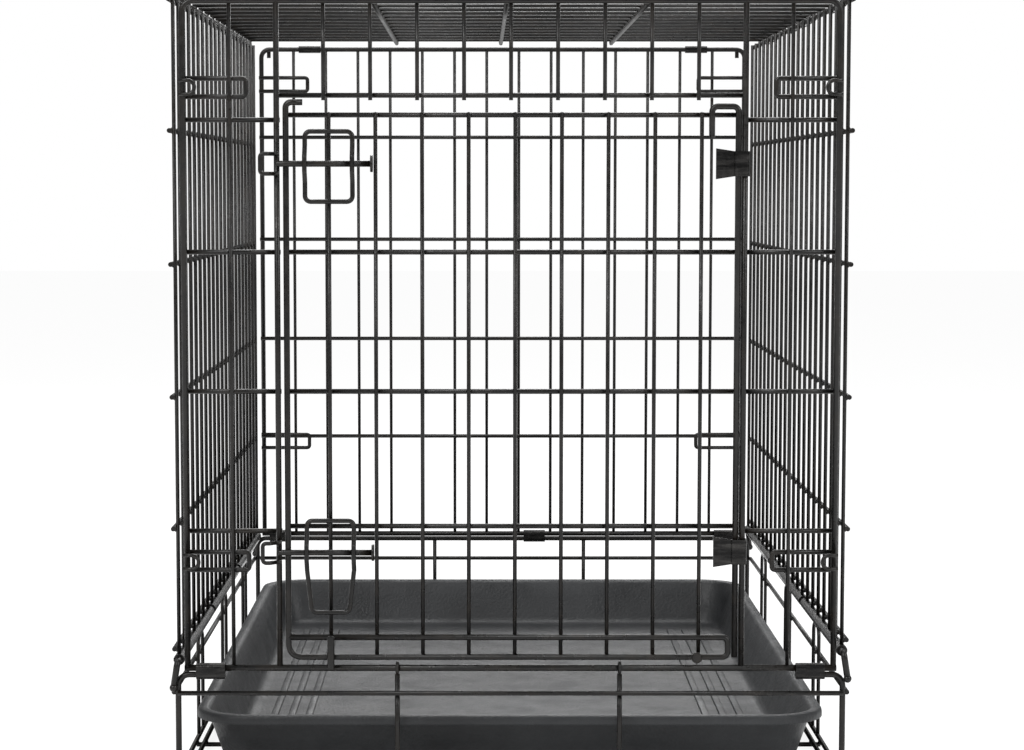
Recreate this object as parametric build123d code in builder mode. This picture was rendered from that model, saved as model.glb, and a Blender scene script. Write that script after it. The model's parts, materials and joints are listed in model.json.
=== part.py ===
from build123d import *
import os

# Folding wire pet crate, in millimetres. X is to the right, Y is to the back and Z is up.
# The origin is on the floor, under the middle of the base.

# Wire diameters
wire_d = 2.9
rail_d = 3.6
post_d = 4.4
foot_rail_d = 4.8
doorway_post_d = 4.2
bolt_d = 4.4
guide_d = 3.4
keeper_d = 3.0
side_rod_d = 4.8
weld_depth = 0.3

# Clearances between pieces that move
hinge_gap = 0.3
rod_gap = 0.1
bolt_gap = 0.15
rest_gap = 0.3
pass_gap = 0.4

# Overall sizes, from wire centre to wire centre
end_width = 470.0
axis_spacing = 750.8
side_spacing = 484.0
front_hinge_z = 84.0
back_hinge_z = 91.0
left_hinge_z = 89.0
side_top_z = 568.3
end_top_z = 564.9

# Rails of the panels, as heights above the panel's own hinge
grid_pitch = 96.0
front_strip_heights = (100.0, 201.5, 302.0, 396.5)
front_header_height = 414.0
front_gaps = 14
front_strip_gaps = 2
back_gaps = 15
back_rail_heights = (97.0, 193.0, 290.0, 389.0)
side_gaps = 20
top_gaps = 15
top_longitudinal_x = (-103.0, -2.0, 105.0)
corner_bend = 8.0

# Short stiffening loops beside the posts
hairpin_reach = 45.0
hairpin_pitch = 13.0
front_hairpin_heights = (78.0, 419.5)
back_hairpin_heights = (92.0, 440.0)
corner_loop_reach = 9.0
corner_loop_height = 10.0

# Door
door_left_x = -161.3
door_hinge_space = 4.96
door_wire_first_x = -130.5
door_wire_pitch = 33.4
door_wire_count = 9
door_rail_heights = (103.5, 201.5, 302.0)
door_top_height = 400.0
door_second_height = 22.5
door_curl_height = 9.0
door_curl_reach = 12.0
door_curl_bend = 4.0
door_foot_bend = 9.0
door_arch_width = 19.0
door_arch_drop = 16.0
door_arch_rise = 6.0

# Latches, as heights above the front hinge
latch_heights = (85.1, door_top_height - 34.8)
latch_names = ("lower", "upper")
guide_width = 34.0
guide_above = 23.0
guide_below = (44.0, 27.0)
guide_foot_width = (27.0, 34.0)
guide_bend = 4.0
guide_step = 9.0
guide_flat = 5.0
bolt_tip_x = -168.2
bolt_disc_d = 12.0
bolt_disc_t = 1.8
bolt_disc_dish = 0.6
bolt_disc_gap = 0.3
keeper_reach = 12.8
keeper_half = 7.1
keeper_flat = 5.0
keeper_bend = 2.5
catch_pin_d = 5.4
catch_pin_length = 24.0
stud_d = 8.0
stud_rise = 3.2
stud_x = 135.4

# Sheet metal
sheet = 0.9
sleeve_length = 21.0
wrap_height = 18.0
wrap_tail = 13.0
wrap_tail_end = 11.0
back_sleeve_gaps = (0, 8, 14)
top_sleeve_gap_from_post = 1
catch_wire_reach = 40.0
catch_wire_drop = 8.0
strap_length = 12.0
strap_gaps = (2, 6, 8, 12)
strap_reach = 6.9

# Rolled hinge tubes of the side panels
tube_wall = 1.5
tube_pieces = 3
tube_slot = 12.0
side_edge_gap = 0.4

# Base
base_post_z = 66.0
upright_x = (-82.4, 79.5)
back_upright_x = (-67.0, 80.0)
eyelet_wall = 2.7
eyelet_length = 3.2
stub_length = 33.0
floor_wire_count = 7
side_hoop_y = (-210.0, 0.0, 210.0)
side_hoop_width = 35.0
side_hoop_bend = 8.0
inner_rail_inset = 7.0
rod_end_drop = 19.0
rod_end_out = 3.0
rod_bend = 3.5
rod_ball_d = 6.0

# Pan
pan_width = 466.0
pan_length = 733.0
pan_height = 43.0
pan_wall = 2.5
pan_slope = 15.0
pan_rim = 7.0
pan_corner = 42.0
pan_lip = 7.0
pan_rib_height = 1.6
pan_rib_width = 6.0
pan_rib_pitch = 14.0
pan_rib_count = 3
pan_rib_inset = 20.0
pan_rib_clear = 45.0

# Worked out from the sizes above
end_y = axis_spacing / 2
weld_y = end_y - post_d / 2 + weld_depth
end_wire_y = weld_y + wire_d / 2
end_rail_y = weld_y - rail_d / 2
end_inner_y = weld_y - rail_d
post_x = end_width / 2
side_x = side_spacing / 2
side_rail_x = side_x + (wire_d + rail_d) / 2
side_end_y = end_inner_y - pass_gap
side_wire_y = side_end_y - side_edge_gap - wire_d / 2
tube_r = side_rod_d / 2 + rod_gap + tube_wall
right_hinge_z = left_hinge_z + wire_d + rail_d + rest_gap
side_top_rail_z = side_top_z - rail_d / 2
top_rail_z = side_top_z + rest_gap + rail_d / 2
top_wire_z = top_rail_z + (rail_d + wire_d) / 2
top_pitch = 2 * (side_wire_y) / top_gaps
top_pin_x = side_rail_x + strap_reach
top_pin_z = top_rail_z + weld_depth
floor_wire_z = rail_d / 2
base_low_z = rail_d + post_d / 2
side_low_z = rail_d + rail_d / 2
front_stub_z = front_hinge_z - (foot_rail_d + post_d) / 2 - hinge_gap
back_rail_z = back_hinge_z - (foot_rail_d + post_d) / 2 - hinge_gap
front_pitch = end_width / front_gaps
back_pitch = end_width / back_gaps
doorway_x = post_x - front_strip_gaps * front_pitch
door_right_x = doorway_x - door_hinge_space
door_foot_z = front_hinge_z + (foot_rail_d + post_d) / 2 + eyelet_wall + hinge_gap + pass_gap
bolt_y = -(end_y + post_d / 2 + hinge_gap + bolt_d / 2)
pan_z = rail_d + rest_gap

os.makedirs("parts", exist_ok=True)


def straight_wires(plane, places, diameter, length, turn=0, both=False):
    """Hexagonal wires that start on a plane, with two flats square to the weld."""
    with BuildSketch(plane) as section:
        with Locations(*places):
            RegularPolygon(diameter / 2, 6, major_radius=False, rotation=turn)
    extrude(section.sketch, amount=length, both=both)


def bent_wire(points, bend, diameter, sides=8):
    """A wire along straight runs joined by bends."""
    with BuildLine() as path:
        FilletPolyline(*points, radius=bend)
    with BuildSketch(Plane(path.line @ 0, z_dir=path.line % 0)) as section:
        RegularPolygon(diameter / 2, sides, major_radius=False, rotation=180 / sides)
    sweep(section.sketch, path=path.line)


def round_rod(plane, place, diameter, length, both=False):
    """A round rod that starts on a plane."""
    with BuildSketch(plane) as section:
        with Locations(place):
            Circle(diameter / 2)
    extrude(section.sketch, amount=length, both=both)


def tube_round(plane, first, second, first_d, second_d, length):
    """A sheet sleeve round two wires, centred on a plane square to them."""
    with BuildSketch(plane) as outside:
        with Locations(first):
            Circle(first_d / 2 + hinge_gap + sheet)
        with Locations(second):
            Circle(second_d / 2 + hinge_gap + sheet)
        make_hull()
    extrude(outside.sketch, amount=length / 2, both=True)
    with BuildSketch(plane) as inside:
        with Locations(first):
            Circle(first_d / 2 + hinge_gap)
        with Locations(second):
            Circle(second_d / 2 + hinge_gap)
        make_hull()
    extrude(inside.sketch, amount=length / 2, both=True, mode=Mode.SUBTRACT)


# Base frame, the bent wires at the front and the back
with BuildPart() as base_frame:
    bent_wire(
        [
            (-side_x + stub_length, -end_y, front_stub_z),
            (-side_x, -end_y, front_stub_z),
            (-side_x, -end_y, base_low_z),
            (side_x, -end_y, base_low_z),
            (side_x, -end_y, front_stub_z),
            (side_x - stub_length, -end_y, front_stub_z),
        ],
        corner_bend,
        post_d,
    )
    bent_wire(
        [
            (-side_x, end_y, base_low_z),
            (-side_x, end_y, back_rail_z),
            (side_x, end_y, back_rail_z),
            (side_x, end_y, base_low_z),
        ],
        corner_bend,
        post_d,
    )
base_frame.part.label = "base_frame"
export_step(base_frame.part, "parts/base_frame.step")


# Straight rails of the base, welded against its bent wires
with BuildPart() as base_rails:
    outer_y = end_y + (post_d + rail_d) / 2
    end_rails = [(-outer_y, base_post_z), (outer_y, base_post_z), (end_y, base_low_z)]
    straight_wires(Plane.YZ, end_rails, rail_d, side_x, turn=30, both=True)
    side_rails = []
    for side in (-1, 1):
        side_rails.append((side * side_x, side_low_z))
        side_rails.append((side * (side_x - inner_rail_inset), side_low_z))
    straight_wires(Plane.XZ, side_rails, rail_d, end_y - post_d / 2, both=True)
    mid_rails = [(-side_rail_x, base_post_z), (side_rail_x, base_post_z)]
    straight_wires(Plane.XZ, mid_rails, rail_d, end_y, turn=30, both=True)
    add(base_frame.part, mode=Mode.SUBTRACT)
base_rails.part.label = "base_rails"
export_step(base_rails.part, "parts/base_rails.step")


# Floor wires carry the pan and stand on the floor
with BuildPart() as base_floor_wires:
    floor_step = 2 * (end_y - corner_bend) / (floor_wire_count - 1)
    floor_places = [((i - (floor_wire_count - 1) / 2) * floor_step, floor_wire_z) for i in range(floor_wire_count)]
    straight_wires(Plane.YZ, floor_places, rail_d, side_x, both=True)
base_floor_wires.part.label = "base_floor_wires"
export_step(base_floor_wires.part, "parts/base_floor_wires.step")


# Side hoops stop just under the rolled tubes
with BuildPart() as base_side_hoops:
    for side, hinge_z in ((-1, left_hinge_z), (1, right_hinge_z)):
        hoop_z = hinge_z - tube_r - rest_gap - wire_d / 2
        for y in side_hoop_y:
            near = y - side_hoop_width / 2
            far = y + side_hoop_width / 2
            hoop = [
                (side * side_x, near, side_low_z + rail_d / 2),
                (side * side_x, near, hoop_z),
                (side * side_x, far, hoop_z),
                (side * side_x, far, side_low_z + rail_d / 2),
            ]
            bent_wire(hoop, side_hoop_bend, wire_d, sides=6)
    add(base_rails.part, mode=Mode.SUBTRACT)
base_side_hoops.part.label = "base_side_hoops"
export_step(base_side_hoops.part, "parts/base_side_hoops.step")


# Uprights of the base. The front ones end in eyelets round the front panel's foot rail
with BuildPart() as base_uprights:
    eyelet_r = foot_rail_d / 2 + hinge_gap + eyelet_wall
    front_uprights = [(x, -end_y) for x in upright_x]
    upright_top = front_hinge_z - foot_rail_d / 2 - hinge_gap - eyelet_wall / 2
    upright_foot = base_low_z + post_d / 2
    straight_wires(Plane.XY.offset(upright_foot), front_uprights, rail_d, upright_top - upright_foot)
    for x in upright_x:
        with BuildSketch(Plane.YZ.offset(x)):
            with Locations((-end_y, front_hinge_z)):
                RegularPolygon(eyelet_r, 12, major_radius=False)
                Circle(foot_rail_d / 2 + hinge_gap, mode=Mode.SUBTRACT)
        extrude(amount=eyelet_length / 2, both=True)
    back_uprights = [(x, end_y) for x in back_upright_x]
    back_foot = base_low_z + rail_d * 0.45
    back_top = back_rail_z - post_d / 2
    straight_wires(Plane.XY.offset(back_foot), back_uprights, rail_d, back_top - back_foot)
    add(base_rails.part, mode=Mode.SUBTRACT)
base_uprights.part.label = "base_uprights"
export_step(base_uprights.part, "parts/base_uprights.step")


# Side rods, which the rolled tubes of the side panels turn on
for name, side, hinge_z in (("left", -1, left_hinge_z), ("right", 1, right_hinge_z)):
    rod_front_y = -(end_y + post_d / 2 + rest_gap + side_rod_d / 2)
    rod_straight_y = side_end_y + rest_gap
    with BuildPart() as side_rod:
        round_rod(Plane.XZ, (side * side_x, hinge_z), side_rod_d, rod_straight_y, both=True)
        rod_end_x = side * (side_x + rod_end_out)
        front_end = [
            (side * side_x, -rod_straight_y, hinge_z),
            (side * side_x, rod_front_y, hinge_z),
            (rod_end_x, rod_front_y, hinge_z - rod_end_drop),
        ]
        bent_wire(front_end, rod_bend, side_rod_d)
        back_end = [(x, -y, z) for x, y, z in front_end]
        bent_wire(back_end, rod_bend, side_rod_d)
        with Locations(front_end[2], back_end[2]):
            Sphere(rod_ball_d / 2)
    side_rod.part.label = name + "_side_rod"
    export_step(side_rod.part, "parts/" + name + "_side_rod.step")


# Front hinge sleeves, crimped on the stubs of the base
for name, side in (("left", -1), ("right", 1)):
    sleeve_x = side * (post_x - front_pitch / 2)
    with BuildPart() as front_sleeve:
        rail_place = (-end_y, front_hinge_z)
        stub_place = (-end_y, front_stub_z)
        tube_round(Plane.YZ.offset(sleeve_x), rail_place, stub_place, foot_rail_d, post_d, sleeve_length)
    front_sleeve.part.label = "front_hinge_sleeve_" + name
    export_step(front_sleeve.part, "parts/front_hinge_sleeve_" + name + ".step")


# Back hinge sleeves, each in a gap between two wires of the back panel
with BuildPart() as back_hinge_sleeves:
    for gap in back_sleeve_gaps:
        sleeve_x = -post_x + (gap + 0.5) * back_pitch
        rail_place = (end_y, back_hinge_z)
        base_place = (end_y, back_rail_z)
        tube_round(Plane.YZ.offset(sleeve_x), rail_place, base_place, foot_rail_d, post_d, sleeve_length)
back_hinge_sleeves.part.label = "back_hinge_sleeves"
export_step(back_hinge_sleeves.part, "parts/back_hinge_sleeves.step")


# Pan, a moulded tray with a rolled rim and ribs along both sides
with BuildPart() as pan:
    tray_width = pan_width - 2 * pan_rim
    tray_length = pan_length - 2 * pan_rim
    rim_z = pan_z + pan_height
    with BuildSketch(Plane.XY.offset(pan_z)):
        RectangleRounded(tray_width - 2 * pan_slope, tray_length - 2 * pan_slope, pan_corner - pan_slope)
    with BuildSketch(Plane.XY.offset(rim_z - pan_wall)):
        RectangleRounded(tray_width, tray_length, pan_corner - pan_rim)
    loft(ruled=True)
    with BuildSketch(Plane.XY.offset(rim_z)):
        RectangleRounded(pan_width, pan_length, pan_corner)
    extrude(amount=-pan_wall)
    with BuildSketch(Plane.XY.offset(rim_z)):
        RectangleRounded(pan_width, pan_length, pan_corner)
        offset(amount=-pan_wall, mode=Mode.SUBTRACT)
    extrude(amount=-pan_lip)
    inner_corner = pan_corner - pan_slope - pan_wall
    inner_width = tray_width - 2 * pan_wall
    inner_length = tray_length - 2 * pan_wall
    with BuildSketch(Plane.XY.offset(pan_z + pan_wall)):
        RectangleRounded(inner_width - 2 * pan_slope, inner_length - 2 * pan_slope, inner_corner)
    with BuildSketch(Plane.XY.offset(rim_z)):
        RectangleRounded(inner_width, inner_length, pan_corner - pan_rim - pan_wall)
    loft(ruled=True, mode=Mode.SUBTRACT)
    rib_length = inner_length - 2 * pan_slope - 2 * pan_rib_clear
    first_rib_x = inner_width / 2 - pan_slope - pan_rib_inset
    with BuildSketch(Plane.XY.offset(pan_z + pan_wall)):
        for side in (-1, 1):
            for i in range(pan_rib_count):
                with Locations((side * (first_rib_x - i * pan_rib_pitch), 0)):
                    Rectangle(pan_rib_width, rib_length)
    extrude(amount=pan_rib_height)
pan.part.label = "pan"
export_step(pan.part, "parts/pan.step")


# Front panel, the frame with the doorway
with BuildPart() as front_panel:
    foot_z = front_hinge_z
    bent_wire(
        [
            (-post_x, -end_y, foot_z),
            (-post_x, -end_y, end_top_z),
            (post_x, -end_y, end_top_z),
            (post_x, -end_y, foot_z),
        ],
        corner_bend,
        post_d,
    )
    round_rod(Plane.YZ, (-end_y, foot_z), foot_rail_d, post_x + post_d / 2, both=True)
    tall_height = end_top_z - foot_z
    for x in (-doorway_x, doorway_x):
        round_rod(Plane.XY.offset(foot_z), (x, -end_y), doorway_post_d, tall_height)
front_panel.part.label = "front_panel"
export_step(front_panel.part, "parts/front_panel.step")


# Grilles of the front panel, beside and over the doorway
with BuildPart() as front_grilles:
    strip_x = []
    for i in range(1, front_strip_gaps):
        strip_x.append(post_x - i * front_pitch)
        strip_x.append(-post_x + i * front_pitch)
    strip_places = [(x, -end_wire_y) for x in strip_x]
    straight_wires(Plane.XY.offset(foot_z), strip_places, wire_d, tall_height)
    header_z = foot_z + front_header_height
    door_gaps = front_gaps - 2 * front_strip_gaps
    over_door = [(-doorway_x + i * front_pitch, -end_wire_y) for i in range(1, door_gaps)]
    over_z = header_z - rail_d
    straight_wires(Plane.XY.offset(over_z), over_door, wire_d, end_top_z - over_z)
    straight_wires(Plane.YZ, [(-end_rail_y, header_z)], rail_d, doorway_x + post_d / 2, turn=30, both=True)
    strip_rails = [(-end_rail_y, foot_z + h) for h in front_strip_heights]
    strip_width = post_x - doorway_x + post_d
    for start_x in (-post_x - post_d / 2, doorway_x - post_d / 2):
        straight_wires(Plane.YZ.offset(start_x), strip_rails, rail_d, strip_width, turn=30)
    for side in (-1, 1):
        for height in front_hairpin_heights:
            open_x = side * (post_x + post_d / 2)
            close_x = side * (post_x - hairpin_reach)
            low_z = foot_z + height - hairpin_pitch / 2
            high_z = foot_z + height + hairpin_pitch / 2
            hairpin = [
                (open_x, -end_rail_y, low_z),
                (close_x, -end_rail_y, low_z),
                (close_x, -end_rail_y, high_z),
                (open_x, -end_rail_y, high_z),
            ]
            bent_wire(hairpin, keeper_bend, rail_d, sides=6)
    add(front_panel.part, mode=Mode.SUBTRACT)
front_grilles.part.label = "front_grilles"
export_step(front_grilles.part, "parts/front_grilles.step")


# Corner loops on the outside of the front posts
with BuildPart() as front_corner_loops:
    loop_y = -(end_y + post_d / 2 + rest_gap + wire_d / 2)
    for side in (-1, 1):
        for height in front_hairpin_heights:
            loop_z = front_hinge_z + height
            loop = [
                (side * (post_x + post_d / 2), loop_y, loop_z - corner_loop_height / 2),
                (side * (post_x - corner_loop_reach), loop_y, loop_z - corner_loop_height / 2),
                (side * (post_x - corner_loop_reach), loop_y, loop_z + corner_loop_height / 2),
                (side * (post_x + post_d / 2), loop_y, loop_z + corner_loop_height / 2),
            ]
            bent_wire(loop, corner_loop_height / 2 - rod_gap, wire_d, sides=6)
front_corner_loops.part.label = "front_corner_loops"
export_step(front_corner_loops.part, "parts/front_corner_loops.step")


# Door, which hangs beside the right doorway post
with BuildPart() as door:
    door_top_z = front_hinge_z + door_top_height
    curl_z = door_top_z + door_curl_height
    second_z = front_hinge_z + door_second_height
    door_foot_end_x = door_right_x - post_d - pass_gap
    left_path = [
        (door_left_x + door_curl_reach, -end_y, curl_z),
        (door_left_x, -end_y, curl_z),
        (door_left_x, -end_y, door_foot_z),
        (0, -end_y, door_foot_z),
    ]
    bent_wire(left_path, [door_curl_bend, door_foot_bend], post_d)
    foot_path = [
        (0, -end_y, door_foot_z),
        (door_foot_end_x, -end_y, door_foot_z),
        (door_foot_end_x, -end_y, second_z),
        (door_left_x, -end_y, second_z),
    ]
    bent_wire(foot_path, door_curl_bend, post_d)
    arch_x = door_right_x - door_arch_width
    arch_path = [
        (door_right_x, -end_y, door_foot_z),
        (door_right_x, -end_y, door_top_z + door_arch_rise),
        (arch_x, -end_y, door_top_z + door_arch_rise),
        (arch_x, -end_y, door_top_z - door_arch_drop),
    ]
    bent_wire(arch_path, door_curl_bend, post_d)
    door_wires = [(door_wire_first_x + i * door_wire_pitch, -end_wire_y) for i in range(door_wire_count)]
    wire_top = door_top_z + rail_d / 2
    straight_wires(Plane.XY.offset(door_foot_z), door_wires, wire_d, wire_top - door_foot_z)
    rail_heights = list(door_rail_heights) + [door_top_height]
    door_rails = [(-end_rail_y, front_hinge_z + h) for h in rail_heights]
    rail_start = door_left_x - post_d / 2
    rail_length = door_right_x - door_left_x + post_d
    straight_wires(Plane.YZ.offset(rail_start), door_rails, rail_d, rail_length, turn=30)
door.part.label = "door"
export_step(door.part, "parts/door.step")


# Guide brackets on the door, with sides that step out over the bolts
for name, height, below, foot_width in zip(latch_names, latch_heights, guide_below, guide_foot_width):
    bolt_z = front_hinge_z + height
    guide_back_y = -(end_wire_y + wire_d / 2 + rod_gap + guide_d / 2)
    guide_out_y = bolt_y - bolt_d / 2 - bolt_gap - guide_d / 2
    with BuildPart() as guide:
        top_z = bolt_z + guide_above
        bottom_z = bolt_z - below
        half = guide_width / 2
        foot = foot_width / 2
        middle_x = door_wire_first_x
        side_points = [
            (half, guide_back_y, top_z),
            (half, guide_back_y, bolt_z + guide_step + guide_bend),
            (half, guide_out_y, bolt_z + guide_flat),
            (half, guide_out_y, bolt_z - guide_flat),
            (half, guide_back_y, bolt_z - guide_step - guide_bend),
            (foot, guide_back_y, bottom_z),
        ]
        left_side = [(middle_x - x, y, z) for x, y, z in side_points]
        right_side = [(middle_x + x, y, z) for x, y, z in reversed(side_points)]
        start = (middle_x, guide_back_y, top_z)
        radii = [guide_bend, guide_bend / 2, guide_bend / 2, guide_bend / 2, guide_bend / 2, guide_bend]
        foot_middle = (middle_x, guide_back_y, bottom_z)
        bent_wire([start] + left_side + [foot_middle], radii, guide_d)
        bent_wire([foot_middle] + right_side + [start], list(reversed(radii)), guide_d)
    guide.part.label = "bolt_guide_" + name
    export_step(guide.part, "parts/bolt_guide_" + name + ".step")


# Slide bolts, each a rod with a dished thumb disc
for name, height in zip(latch_names, latch_heights):
    bolt_z = front_hinge_z + height
    stop_x = door_wire_first_x + door_wire_pitch - wire_d / 2 - bolt_disc_gap
    disc_x = stop_x - bolt_disc_t
    with BuildPart() as bolt:
        round_rod(Plane.YZ.offset(bolt_tip_x), (bolt_y, bolt_z), bolt_d, disc_x - bolt_tip_x)
        with BuildSketch(Plane.YZ.offset(disc_x)):
            with Locations((bolt_y, bolt_z)):
                Circle(bolt_disc_d / 2)
        extrude(amount=bolt_disc_t)
        with BuildSketch(Plane.YZ.offset(stop_x)):
            with Locations((bolt_y, bolt_z)):
                Circle(bolt_disc_d / 2 - bolt_disc_dish)
        extrude(amount=-bolt_disc_dish, taper=45, mode=Mode.SUBTRACT)
    bolt.part.label = "slide_bolt_" + name
    export_step(bolt.part, "parts/slide_bolt_" + name + ".step")


# Keepers on the left doorway post, bent forward where the bolts pass behind
for name, height in zip(latch_names, latch_heights):
    bolt_z = front_hinge_z + height
    keeper_back_y = -(end_y + post_d / 2 + rod_gap + keeper_d / 2)
    keeper_out_y = bolt_y - bolt_d / 2 - bolt_gap - keeper_d / 2
    keeper_start_x = -doorway_x + post_d / 2
    keeper_end_x = -doorway_x - keeper_reach + keeper_d / 2
    with BuildPart() as keeper:
        leg = [
            (keeper_start_x, keeper_back_y, keeper_half),
            (keeper_start_x - post_d, keeper_back_y, keeper_half),
            (keeper_end_x + keeper_flat, keeper_out_y, keeper_half),
            (keeper_end_x, keeper_out_y, keeper_half),
        ]
        upper_leg = [(x, y, bolt_z + z) for x, y, z in leg]
        lower_leg = [(x, y, bolt_z - z) for x, y, z in reversed(leg)]
        radii = [keeper_bend / 2, keeper_bend / 2, keeper_bend, keeper_bend, keeper_bend / 2, keeper_bend / 2]
        bent_wire(upper_leg + lower_leg, radii, keeper_d)
    keeper.part.label = "bolt_keeper_" + name
    export_step(keeper.part, "parts/bolt_keeper_" + name + ".step")


# Sheet metal wraps that hold the door's frame to the doorway post
for name, height in zip(latch_names, latch_heights):
    wrap_z = front_hinge_z + height
    with BuildPart() as wrap:
        post_place = (doorway_x, -end_y)
        frame_place = (door_right_x, -end_y)
        tube_round(Plane.XY.offset(wrap_z), post_place, frame_place, doorway_post_d, post_d, wrap_height)
        tail_start = door_right_x - post_d / 2 - hinge_gap - sheet / 2
        for face in (-1, 1):
            with BuildSketch(Plane.XZ.offset(end_y + face * (sheet + rod_gap))):
                with BuildLine():
                    Polyline(
                        (tail_start, wrap_z - wrap_height / 2),
                        (tail_start, wrap_z + wrap_height / 2),
                        (tail_start - wrap_tail, wrap_z + wrap_tail_end),
                        (tail_start - wrap_tail, wrap_z - wrap_tail_end),
                        close=True,
                    )
                make_face()
            extrude(amount=sheet / 2, both=True)
    wrap.part.label = "door_hinge_wrap_" + name
    export_step(wrap.part, "parts/door_hinge_wrap_" + name + ".step")


# Catch pin at the foot of the door
with BuildPart() as door_catch_pin:
    pin_y = -(end_y + foot_rail_d / 2 + rest_gap + catch_pin_d / 2)
    round_rod(Plane.XY.offset(front_hinge_z), (door_wire_first_x, pin_y), catch_pin_d, catch_pin_length)
    chamfer(door_catch_pin.edges().group_by(Axis.Z)[-1], catch_pin_d / 6)
door_catch_pin.part.label = "door_catch_pin"
export_step(door_catch_pin.part, "parts/door_catch_pin.step")


# Stop stud on the foot rail of the door
with BuildPart() as door_stop_stud:
    with BuildSketch(Plane.XZ.offset(end_y + post_d / 2 + rod_gap)):
        with Locations((stud_x, door_foot_z)):
            Circle(stud_d / 2)
    extrude(amount=stud_rise)
    chamfer(door_stop_stud.edges().group_by(Axis.Y)[0], stud_rise / 3)
door_stop_stud.part.label = "door_stop_stud"
export_step(door_stop_stud.part, "parts/door_stop_stud.step")


# Back panel
with BuildPart() as back_panel:
    bent_wire(
        [
            (-post_x, end_y, back_hinge_z),
            (-post_x, end_y, end_top_z),
            (post_x, end_y, end_top_z),
            (post_x, end_y, back_hinge_z),
        ],
        corner_bend,
        post_d,
    )
    round_rod(Plane.YZ, (end_y, back_hinge_z), foot_rail_d, post_x + post_d / 2, both=True)
    back_wires = [(-post_x + i * back_pitch, end_wire_y) for i in range(1, back_gaps)]
    straight_wires(Plane.XY.offset(back_hinge_z), back_wires, wire_d, end_top_z - back_hinge_z)
    back_rails = [(end_rail_y, back_hinge_z + h) for h in back_rail_heights]
    straight_wires(Plane.YZ, back_rails, rail_d, post_x + post_d / 2, turn=30, both=True)
    for side in (-1, 1):
        for height in back_hairpin_heights:
            open_x = side * (post_x + post_d / 2)
            close_x = side * (post_x - hairpin_reach)
            low_z = back_hinge_z + height - hairpin_pitch / 2
            high_z = back_hinge_z + height + hairpin_pitch / 2
            hairpin = [
                (open_x, end_rail_y, low_z),
                (close_x, end_rail_y, low_z),
                (close_x, end_rail_y, high_z),
                (open_x, end_rail_y, high_z),
            ]
            bent_wire(hairpin, keeper_bend, rail_d, sides=6)
back_panel.part.label = "back_panel"
export_step(back_panel.part, "parts/back_panel.step")


# Catches on the outside of the back panel's top rail, each a wire held in a sleeve
catch_y = end_y + (post_d + rail_d) / 2 + hinge_gap
for name, side in (("left", -1), ("right", 1)):
    catch_x = side * (post_x - (top_sleeve_gap_from_post + 0.5) * back_pitch)
    with BuildPart() as top_sleeve:
        rail_place = (end_y, end_top_z)
        wire_place = (catch_y, end_top_z)
        tube_round(Plane.YZ.offset(catch_x), rail_place, wire_place, post_d, rail_d, sleeve_length)
    top_sleeve.part.label = "back_top_sleeve_" + name
    export_step(top_sleeve.part, "parts/back_top_sleeve_" + name + ".step")
    with BuildPart() as top_catch:
        catch_path = [
            (catch_x - side * sleeve_length / 2, catch_y, end_top_z),
            (catch_x + side * catch_wire_reach, catch_y, end_top_z),
            (catch_x + side * catch_wire_reach, catch_y, end_top_z - catch_wire_drop),
        ]
        bent_wire(catch_path, keeper_bend, rail_d)
    top_catch.part.label = "back_top_catch_" + name
    export_step(top_catch.part, "parts/back_top_catch_" + name + ".step")


# Side panels, each a grille on a rolled tube that turns on the side rod
for name, side, hinge_z in (("left", -1, left_hinge_z), ("right", 1, right_hinge_z)):
    grille_foot_z = hinge_z + tube_r + rod_gap
    with BuildPart() as side_panel:
        wire_step = 2 * side_wire_y / side_gaps
        upright_places = [(side * side_x, -side_wire_y + i * wire_step) for i in range(side_gaps + 1)]
        upright_height = side_top_z - grille_foot_z
        straight_wires(Plane.XY.offset(grille_foot_z), upright_places, wire_d, upright_height, turn=30)
        lowest_z = grille_foot_z + rail_d
        rail_zs = [lowest_z, side_top_rail_z]
        for i in range(1, int((side_top_rail_z - left_hinge_z - grid_pitch / 2) / grid_pitch) + 1):
            rail_zs.append(left_hinge_z + i * grid_pitch)
        rail_places = [(side * side_rail_x, z) for z in rail_zs]
        straight_wires(Plane.XZ, rail_places, rail_d, side_end_y, turn=30, both=True)
    side_panel.part.label = name + "_panel"
    export_step(side_panel.part, "parts/" + name + "_panel.step")
    with BuildPart() as hinge_tube:
        piece_length = (2 * side_end_y - (tube_pieces - 1) * tube_slot) / tube_pieces
        for i in range(tube_pieces):
            piece_y = -side_end_y + i * (piece_length + tube_slot)
            with BuildSketch(Plane.XZ.offset(-piece_y)):
                with Locations((side * side_x, hinge_z)):
                    RegularPolygon(tube_r, 12, major_radius=False, rotation=15)
                    Circle(side_rod_d / 2 + rod_gap, mode=Mode.SUBTRACT)
            extrude(amount=-piece_length)
    hinge_tube.part.label = name + "_hinge_tube"
    export_step(hinge_tube.part, "parts/" + name + "_hinge_tube.step")


# Straps on the right panel's top rail, which the roof's pin turns in
with BuildPart() as roof_hinge_straps:
    for gap in strap_gaps:
        strap_y = -side_wire_y + (gap + 0.5) * top_pitch
        rail_place = (side_rail_x, side_top_rail_z)
        pin_place = (top_pin_x, top_pin_z)
        tube_round(Plane.XZ.offset(-strap_y), rail_place, pin_place, rail_d, rail_d, strap_length)
roof_hinge_straps.part.label = "roof_hinge_straps"
export_step(roof_hinge_straps.part, "parts/roof_hinge_straps.step")


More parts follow.
